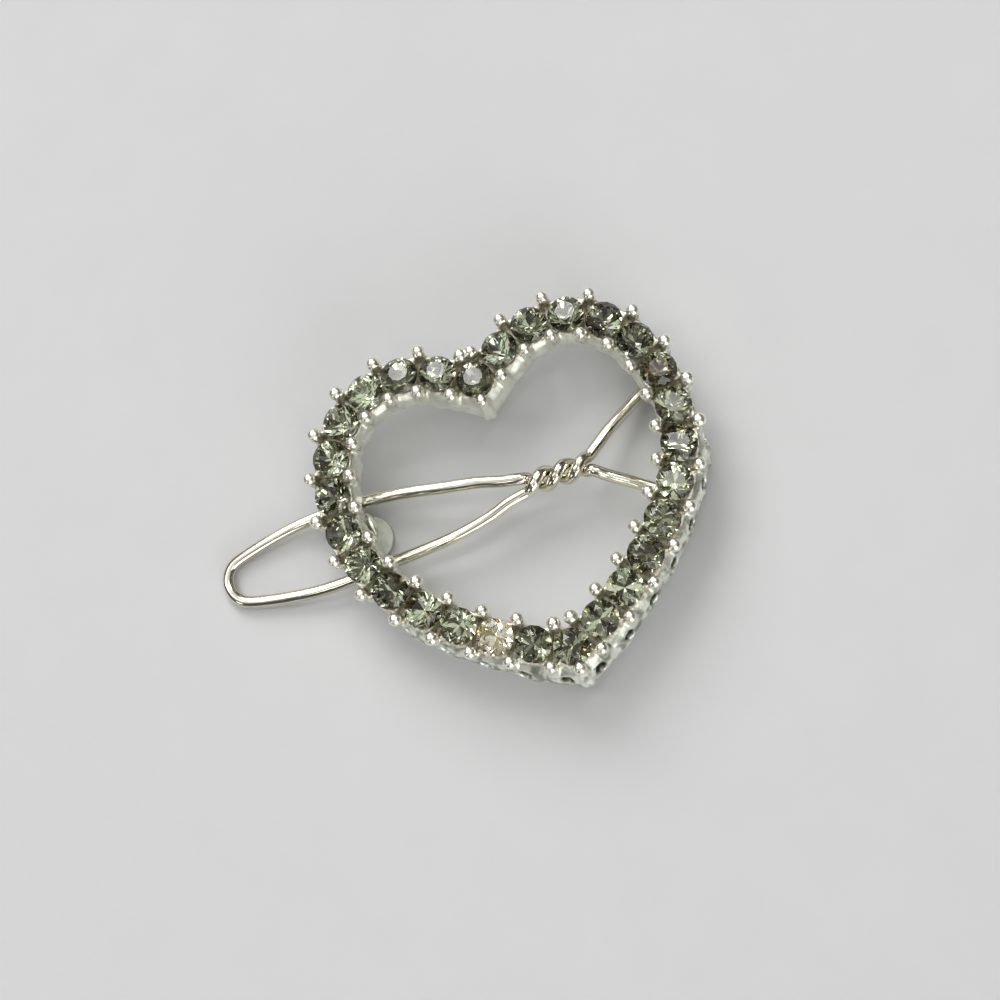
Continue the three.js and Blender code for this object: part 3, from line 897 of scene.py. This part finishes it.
# Painted reflection tones run from the foil's dark colour to its pale one. Painted flashes below 0 are
# brown and above 0 teal.
FACET_PAINTED_REFLECTION_TONES = (0.0, 0.02, 0.08, 0.2, 0.45, 0.8, 1.0, 1.0)
PLAIN_FACETS_PER_FLASH_PAIR = 70
FACET_PAINTED_FLASHES = (-0.8, 0.7, *([0.0] * PLAIN_FACETS_PER_FLASH_PAIR))
CREAM_STONE = 16
STONE_FACETS = 8
STONE_SEED = 314
STONE_TILT = 3


def ring_point(radius, steps, z):
    """A point on a ring round the stone's axis, counted in main facets."""
    angle = 2 * math.pi / STONE_FACETS * steps
    return Vector((radius * math.cos(angle), radius * math.sin(angle), z))


def flat_share(edge_radius, corner_radius):
    """How far up its slope a corner between two main facets lies, so that the facets stay flat."""
    middle = corner_radius * math.cos(math.pi / STONE_FACETS)
    return (STONE_RADIUS - middle) / (STONE_RADIUS - edge_radius)


def add_stone(bm, rng):
    """A round stone cut with a table, stars, kites and girdle facets, and kites again behind.
    Faces of the back get material 1 and a painted reflection tone and painted flash of their own."""
    painted_reflection = bm.faces.layers.float.new("facet_painted_reflection")
    painted_flash = bm.faces.layers.float.new("facet_painted_flash")
    half = STONE_GIRDLE / 2
    star_z = half + STONE_CROWN * flat_share(STONE_TABLE_RADIUS, STONE_STAR_RADIUS)
    back_z = -half - STONE_PAVILION * flat_share(0, STONE_BACK_RADIUS)
    table, stars, backs, upper, lower = [], [], [], [], []
    for k in range(STONE_FACETS):
        table.append(bm.verts.new(ring_point(STONE_TABLE_RADIUS, k, half + STONE_CROWN)))
        stars.append(bm.verts.new(ring_point(STONE_STAR_RADIUS, k + 0.5, star_z)))
        backs.append(bm.verts.new(ring_point(STONE_BACK_RADIUS, k + 0.5, back_z)))
    girdle_steps = 2 * STONE_FACETS
    for k in range(girdle_steps):
        upper.append(bm.verts.new(ring_point(STONE_RADIUS, k / 2, half)))
        lower.append(bm.verts.new(ring_point(STONE_RADIUS, k / 2, -half)))
    point = bm.verts.new((0, 0, -half - STONE_PAVILION))
    front = [bm.faces.new(table)]
    back = []
    for k in range(STONE_FACETS):
        after, before = (k + 1) % STONE_FACETS, (k - 1) % STONE_FACETS
        next_main = (2 * k + 2) % girdle_steps
        front.append(bm.faces.new((table[k], stars[k], table[after])))
        front.append(bm.faces.new((table[k], stars[before], upper[2 * k], stars[k])))
        front.append(bm.faces.new((stars[k], upper[2 * k], upper[2 * k + 1])))
        front.append(bm.faces.new((stars[k], upper[2 * k + 1], upper[next_main])))
        back.append(bm.faces.new((point, backs[k], lower[2 * k], backs[before])))
        back.append(bm.faces.new((backs[k], lower[2 * k + 1], lower[2 * k])))
        back.append(bm.faces.new((backs[k], lower[next_main], lower[2 * k + 1])))
    for k in range(girdle_steps):
        after = (k + 1) % girdle_steps
        front.append(bm.faces.new((upper[k], lower[k], lower[after], upper[after])))
    for face in front:
        face.material_index = 0
    for face in back:
        face.material_index = 1
        # Painted reflections: each back facet is painted a random tone, dark to pale, and now and then a
        # brown or teal flash.
        face[painted_reflection] = rng.choice(FACET_PAINTED_REFLECTION_TONES)
        face[painted_flash] = rng.choice(FACET_PAINTED_FLASHES)


def chatons(glass, foil, cream_foil):
    rng = random.Random(STONE_SEED)
    for stone in range(STONE_COUNT):
        bm = bmesh.new()
        add_stone(bm, rng)
        bmesh.ops.recalc_face_normals(bm, faces=bm.faces)
        name = f"chaton_{stone + 1:02d}"
        mesh = bpy.data.meshes.new(name)
        bm.to_mesh(mesh)
        bm.free()
        turn = Matrix.Rotation(rng.uniform(0, 2 * math.pi / STONE_FACETS), 4, "Z")
        tilt = Matrix.Rotation(math.radians(rng.uniform(-STONE_TILT, STONE_TILT)), 4, "X")
        tilt = tilt @ Matrix.Rotation(math.radians(rng.uniform(-STONE_TILT, STONE_TILT)), 4, "Y")
        mesh.transform(Matrix.Scale(MM, 4) @ turn)
        obj = bpy.data.objects.new(name, mesh)
        bpy.context.scene.collection.objects.link(obj)
        place = TO_ROW @ seat_matrix(stone) @ tilt
        obj.matrix_world = Matrix.LocRotScale(place.to_translation(), place.to_quaternion(), (1, 1, 1))
        mesh.materials.append(glass)
        mesh.materials.append(cream_foil if stone == CREAM_STONE else foil)
        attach(obj, "frame")
        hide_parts(f"stone_{stone + 1:02d}")


# ---- The wire clasp ----


def hinge_leg():
    """One leg of the Y, from the wire's end in the lug to the twist, on the side y > 0."""
    points = [Vector((HINGE_X, WIRE_END_Y, HINGE_Z))]
    points.append(Vector((HINGE_X, (WIRE_END_Y + END_BEND_Y) / 2, HINGE_Z)))
    sweep = 90 + END_LEG_ANGLE
    for x, y in arc(HINGE_X - END_BEND_RADIUS, END_BEND_Y, END_BEND_RADIUS, 0, sweep, END_BEND_STEPS):
        points.append(Vector((x, y, HINGE_Z)))
    return points + [Vector(p) for p in FORK_POINTS]


def twist_strand(phase):
    points = []
    for step in range(TWIST_STEPS + 1):
        share = step / TWIST_STEPS
        angle = phase + share * TWIST_HALF_TURNS * math.pi
        x = TWIST_RIGHT + share * (TWIST_LEFT - TWIST_RIGHT)
        across, up = TWIST_RADIUS * math.cos(angle), TWIST_RADIUS * math.sin(angle)
        points.append(Vector((x, across, TWIST_Z + up)))
    return points


def loop_end():
    points = []
    for step in range(LOOP_STEPS + 1):
        angle = -math.radians(90 + LOOP_LEG_SLOPE + (180 - 2 * LOOP_LEG_SLOPE) * step / LOOP_STEPS)
        reach = -math.cos(angle)
        z = LOOP_Z + (LOOP_TIP_Z - LOOP_Z) * reach
        points.append(Vector((LOOP_X - LOOP_RADIUS * reach, LOOP_RADIUS * math.sin(angle), z)))
    return points


def sideways(x):
    """How far the hand-bent wire lies to the side of the clasp's middle line."""
    right_of_twist = smoothstep(x, *TWIST_SIDEWAYS_ENDS)
    return TWIST_SIDEWAYS * (1 - right_of_twist) + LOOP_SIDEWAYS * smoothstep(-x, *LOOP_SIDEWAYS_ENDS)


def mirrored(points):
    return [Vector((p.x, -p.y, p.z)) for p in points]


def centripetal(points, per_span):
    """A centripetal Catmull-Rom curve through the points."""
    ends = [points[0] * 2 - points[1], *points, points[-1] * 2 - points[-2]]
    result = []
    for i in range(len(points) - 1):
        p = ends[i: i + 4]
        knots = [0.0]
        for a, b in zip(p, p[1:]):
            knots.append(knots[-1] + max((b - a).length, LEAST_KNOT) ** 0.5)
        for step in range(per_span):
            t = knots[1] + (knots[2] - knots[1]) * step / per_span
            level = p
            for width in (1, 2, 3):
                fresh = []
                for k in range(len(level) - 1):
                    start = knots[k] if width == 1 else knots[k if width == 2 else 1]
                    end = knots[k + 1] if width == 1 else knots[k + 2 if width == 2 else 2]
                    fresh.append(level[k].lerp(level[k + 1], (t - start) / (end - start)))
                level = fresh
            result.append(level[0])
    result.append(points[-1].copy())
    return result


WIRE_SIDES = 24
WIRE_STEPS = 8
# The grain moves this much per millimetre along the wire, and round it on a circle of radius 1.
GRAIN_STRETCH = 0.03
END_NARROWING = 0.8


def add_tube(bm, points, radius, sides):
    """A round tube, a little narrower at its ends, its rings turned as little as possible. Returns, for
    lengthwise grain, a vector for each of its points: the direction round it and the length along it."""
    tangents = []
    for i in range(len(points)):
        ahead = points[min(i + 1, len(points) - 1)] - points[max(i - 1, 0)]
        tangents.append(ahead.normalized())
    normal = tangents[0].orthogonal().normalized()
    rings = []
    for i, (point, tangent) in enumerate(zip(points, tangents)):
        if i:
            normal = tangents[i - 1].rotation_difference(tangent) @ normal
            normal = (normal - tangent * normal.dot(tangent)).normalized()
        side = tangent.cross(normal)
        rings.append((point, tangent, normal, side))
    loops, grain = [], []
    length = 0.0
    angles = [2 * math.pi * k / sides for k in range(sides)]
    for i, (point, _, normal, side) in enumerate(rings):
        at_end = i in (0, len(rings) - 1)
        reach = radius * (END_NARROWING if at_end else 1)
        loops.append([point + (normal * math.cos(a) + side * math.sin(a)) * reach for a in angles])
        length += (point - points[max(i - 1, 0)]).length
        for a in angles:
            grain += [math.cos(a), math.sin(a), length * GRAIN_STRETCH]
    add_rings(bm, loops)
    return grain


def clasp_wire(material):
    leg = [Vector(p) for p in LOOP_LEG_POINTS]
    route = [
        *hinge_leg(),
        *twist_strand(0),
        *mirrored(leg),
        *loop_end(),
        *reversed(leg),
        *reversed(twist_strand(math.pi)),
        *reversed(mirrored(hinge_leg())),
    ]
    route = [p + Vector((0, sideways(p.x), 0)) for p in route]
    bm = bmesh.new()
    grain = add_tube(bm, centripetal(route, WIRE_STEPS), WIRE_RADIUS, WIRE_SIDES)
    obj = work_object(bm)
    obj.data.attributes.new("drawn_grain", "FLOAT_VECTOR", "POINT").data.foreach_set("vector", grain)
    finish_piece(obj, "clasp_wire", CLASP, material, "clasp", "wire_clasp")


# ---- Hinge lugs and catch ----

FITTING_SINK = 0.06
EYE_STEPS = 40
BORE_STEPS = 32
LUG_FIRST_VOXEL = 0.06
LUG_LAST_VOXEL = 0.05
LUG_SMOOTHING = 3


def lug(name, side, node, material):
    """An eye for one wire end, soldered to the back of the frame through a small plate."""
    top = RAIL_BOTTOM + FITTING_SINK - HINGE_Z
    stand = Matrix.Translation((0, LUG_WIDTH / 2, 0)) @ UPRIGHT_PLANE
    solid = bmesh.new()
    eye = arc(0, 0, LUG_RADIUS, 0, 360, EYE_STEPS)[:-1]
    add_prism(solid, eye, 0, LUG_WIDTH, stand)
    neck = [(LUG_PLATE_REACH, top), (-LUG_PLATE_REACH, top), (-LUG_PLATE_REACH, top - LUG_PLATE)]
    neck += [(-LUG_RADIUS, 0), (LUG_RADIUS, 0), (LUG_PLATE_REACH, top - LUG_PLATE)]
    add_prism(solid, neck, 0, LUG_WIDTH, stand)
    obj = work_object(solid)
    remesh(obj, LUG_FIRST_VOXEL)
    bore = bmesh.new()
    round_bore = arc(0, 0, LUG_BORE_RADIUS, 0, 360, BORE_STEPS)[:-1]
    add_prism(bore, round_bore, -CUT_BEYOND, LUG_WIDTH + CUT_BEYOND, stand)
    cut(obj, bore)
    remesh(obj, LUG_LAST_VOXEL)
    smooth(obj, LUG_SMOOTHING)
    place = CLASP @ Matrix.Translation((HINGE_X, side * LUG_Y, HINGE_Z))
    finish_piece(obj, name, place, material, "frame", node)


CATCH_BEND_STEPS = 12
CATCH_ROUND_STEPS = 16
CATCH_FIRST_VOXEL = 0.07
CATCH_LAST_VOXEL = 0.06
CATCH_SMOOTHING = 4


def catch_plate(material):
    """A bent strip: its upright is soldered to the frame's back, its round foot reaches in below."""
    top = RAIL_BOTTOM + FITTING_SINK
    bend_x = CATCH_BACK_X + CATCH_BEND
    outline = [(CATCH_BACK_X, top), *arc(bend_x, CATCH_BEND, CATCH_BEND, 180, 270, CATCH_BEND_STEPS)]
    outline += [(CATCH_END_X, 0), (CATCH_END_X, CATCH_THICKNESS)]
    outline += arc(bend_x, CATCH_BEND, CATCH_BEND - CATCH_THICKNESS, 270, 180, CATCH_BEND_STEPS)
    outline += [(CATCH_BACK_X + CATCH_THICKNESS, top)]
    solid = bmesh.new()
    add_prism(solid, outline, 0, CATCH_WIDTH, Matrix.Translation((0, CATCH_WIDTH / 2, 0)) @ UPRIGHT_PLANE)
    obj = work_object(solid)
    remesh(obj, CATCH_FIRST_VOXEL)
    half = CATCH_WIDTH / 2
    round_x = CATCH_END_X - half
    beyond_x, beyond_y = CATCH_END_X + CUT_BEYOND, half + CUT_BEYOND
    for side in (1, -1):
        shape = [(x, side * y) for x, y in arc(round_x, 0, half, 0, 90, CATCH_ROUND_STEPS)]
        shape += [(round_x, side * beyond_y), (beyond_x, side * beyond_y), (beyond_x, 0)]
        corner = bmesh.new()
        add_prism(corner, shape[::side], -CUT_BEYOND, RAIL_BOTTOM + CUT_BEYOND, Matrix())
        cut(obj, corner)
    remesh(obj, CATCH_LAST_VOXEL)
    smooth(obj, CATCH_SMOOTHING)
    place = CLASP @ Matrix.Translation((0, CATCH_Y, 0))
    finish_piece(obj, "catch_plate", place, material, "frame", "catch_hook")


SOLDER_AT = (-12.42, 1.12, 0.8)
SOLDER_TURN = 100
SOLDER_RADIUS = 0.45
SOLDER_STRETCH = 2.3
SOLDER_STEPS = 12
SOLDER_SIDES = 20


def catch_solder(material):
    """A long bright bead of solder across the catch's foot."""
    bm = bmesh.new()
    dome = [(radius, z) for z, radius in arc(0, 0, SOLDER_RADIUS, 180, 0, SOLDER_STEPS)]
    dome[0], dome[-1] = (0, dome[0][1]), (0, dome[-1][1])
    lengthwise = Matrix.Rotation(math.pi / 2, 4, "Y") @ Matrix.Diagonal((1, 1, SOLDER_STRETCH, 1))
    turned = Matrix.Translation(SOLDER_AT) @ Matrix.Rotation(math.radians(SOLDER_TURN), 4, "Z")
    add_turned(bm, dome, SOLDER_SIDES, turned @ lengthwise)
    place = CLASP @ Matrix.Translation((0, CATCH_Y, 0))
    obj = work_object(bm)
    finish_piece(obj, "catch_solder", place, material, "frame", "catch_hook")


# ---- Building it ----

walls = cast_plating("cast_plating_walls", WALL_ROUGHNESS, *WALL_COLOURS)
fittings = cast_plating("cast_plating_fittings", FITTING_ROUGHNESS, *FITTING_COLOURS)
bright = bead_plating()
smoky_foil = stone_foil("stone_foil", *FOIL_PAINTED_REFLECTION_COLOURS)
cream_foil = stone_foil("stone_foil_cream", *CREAM_FOIL_PAINTED_REFLECTION_COLOURS)
cast_heart(walls)
prong_beads(bright)
chatons(stone_glass(), smoky_foil, cream_foil)
clasp_wire(wire_plating())
lug("eye_upper", 1, "hinge_lug_upper", fittings)
lug("eye_lower", -1, "hinge_lug_lower", fittings)
catch_plate(fittings)
catch_solder(bright)


# ---- Floor, lights and camera ----

FLOOR_HALF = 0.9
CAMERA_FROM_CENTRE = (19.66, -55.28, 235.18)
CAMERA_TURN = (10.651, 9.402, -19.727)
LENS = 108
SENSOR = 36
CAMERA_CLIP = (0.01, 10)


def floor():
    bm = bmesh.new()
    bmesh.ops.create_grid(bm, x_segments=2, y_segments=2, size=FLOOR_HALF)
    mesh = bpy.data.meshes.new("floor")
    bm.to_mesh(mesh)
    bm.free()
    mesh.materials.append(floor_paper())
    obj = bpy.data.objects.new("floor", mesh)
    bpy.context.scene.collection.objects.link(obj)


# Round soft lights, as (name, direction, distance in metres, size in metres, power in watts).
SOFTBOXES = [
    ("key", (-0.06, 0.80, 0.60), 1.5, 0.97, 15.0),
    ("low_left", (-0.85, -0.4, 0.45), 0.45, 0.12, 0.12),
]


def softbox(name, direction, distance, size, power):
    light = bpy.data.lights.new(name, "AREA")
    light.shape = "DISK"
    light.size = size
    light.energy = power
    obj = bpy.data.objects.new(name, light)
    bpy.context.scene.collection.objects.link(obj)
    towards = Vector(direction).normalized()
    obj.location = towards * distance
    obj.rotation_euler = towards.to_track_quat("Z", "Y").to_euler()


DOME_AXIS = (-0.02, 0.26, 0.965)
DOME_EDGE = (0.66, 0.84)
DOME_STRENGTH = 0.70
DOME_OUTSIDE = 0.10
# Where a panel's soft edge starts and ends, as shares of its half angle.
PANEL_EDGE = (1.2, 0.8)
# Small panels and a low strip round the dome, as (direction, half angle in degrees, strength).
PANELS = [
    ((0.55, 0.25, 0.80), 5, 6),
    ((-0.62, 0.30, 0.72), 5, 6),
    ((0.25, -0.50, 0.83), 5, 6),
    ((-0.35, -0.45, 0.82), 4, 6),
    ((0.26, 0.22, 0.94), 7, 4.2),
    ((-0.40, 0.24, 0.88), 7, 4.2),
    ((0.15, -0.90, 0.36), 22, 2.8),
]


def add_glow(tree, coords, direction, low, high, faint, bright):
    """Adds a round soft-edged glow to the sky and returns its strength."""
    dot = tree.nodes.new("ShaderNodeVectorMath")
    dot.operation = "DOT_PRODUCT"
    dot.inputs[1].default_value = Vector(direction).normalized()
    tree.links.new(coords, dot.inputs[0])
    ramp = tree.nodes.new("ShaderNodeMapRange")
    ramp.interpolation_type = "SMOOTHSTEP"
    for key, value in (("From Min", low), ("From Max", high), ("To Min", faint), ("To Max", bright)):
        ramp.inputs[key].default_value = value
    tree.links.new(dot.outputs["Value"], ramp.inputs["Value"])
    return ramp.outputs["Result"]


def tent_sky():
    """A white tent above the object: bright round its middle, which leans to +Y, dark to the sides,
    with a few panels that make the stones sparkle."""
    world = bpy.data.worlds.new("tent")
    world.use_nodes = True
    tree = world.node_tree
    coords = tree.nodes.new("ShaderNodeTexCoord").outputs["Generated"]
    total = add_glow(tree, coords, DOME_AXIS, *DOME_EDGE, DOME_OUTSIDE, DOME_STRENGTH)
    for direction, half_angle, strength in PANELS:
        edge = [math.cos(math.radians(half_angle * share)) for share in PANEL_EDGE]
        glow = add_glow(tree, coords, direction, *edge, 0, strength)
        both = tree.nodes.new("ShaderNodeMath")
        tree.links.new(total, both.inputs[0])
        tree.links.new(glow, both.inputs[1])
        total = both.outputs[0]
    background = tree.nodes["Background"]
    background.inputs["Color"].default_value = (1, 1, 1, 1)
    tree.links.new(total, background.inputs["Strength"])
    bpy.context.scene.world = world


def camera():
    data = bpy.data.cameras.new("camera")
    data.lens = LENS
    data.sensor_width = SENSOR
    data.clip_start, data.clip_end = CAMERA_CLIP
    obj = bpy.data.objects.new("camera", data)
    bpy.context.scene.collection.objects.link(obj)
    obj.location = (Vector(CAMERA_FROM_CENTRE) + SHIFT) * MM
    obj.rotation_euler = [math.radians(a) for a in CAMERA_TURN]
    bpy.context.scene.camera = obj


floor()
for settings in SOFTBOXES:
    softbox(*settings)
tent_sky()
camera()
bpy.context.scene.view_settings.view_transform = "Standard"
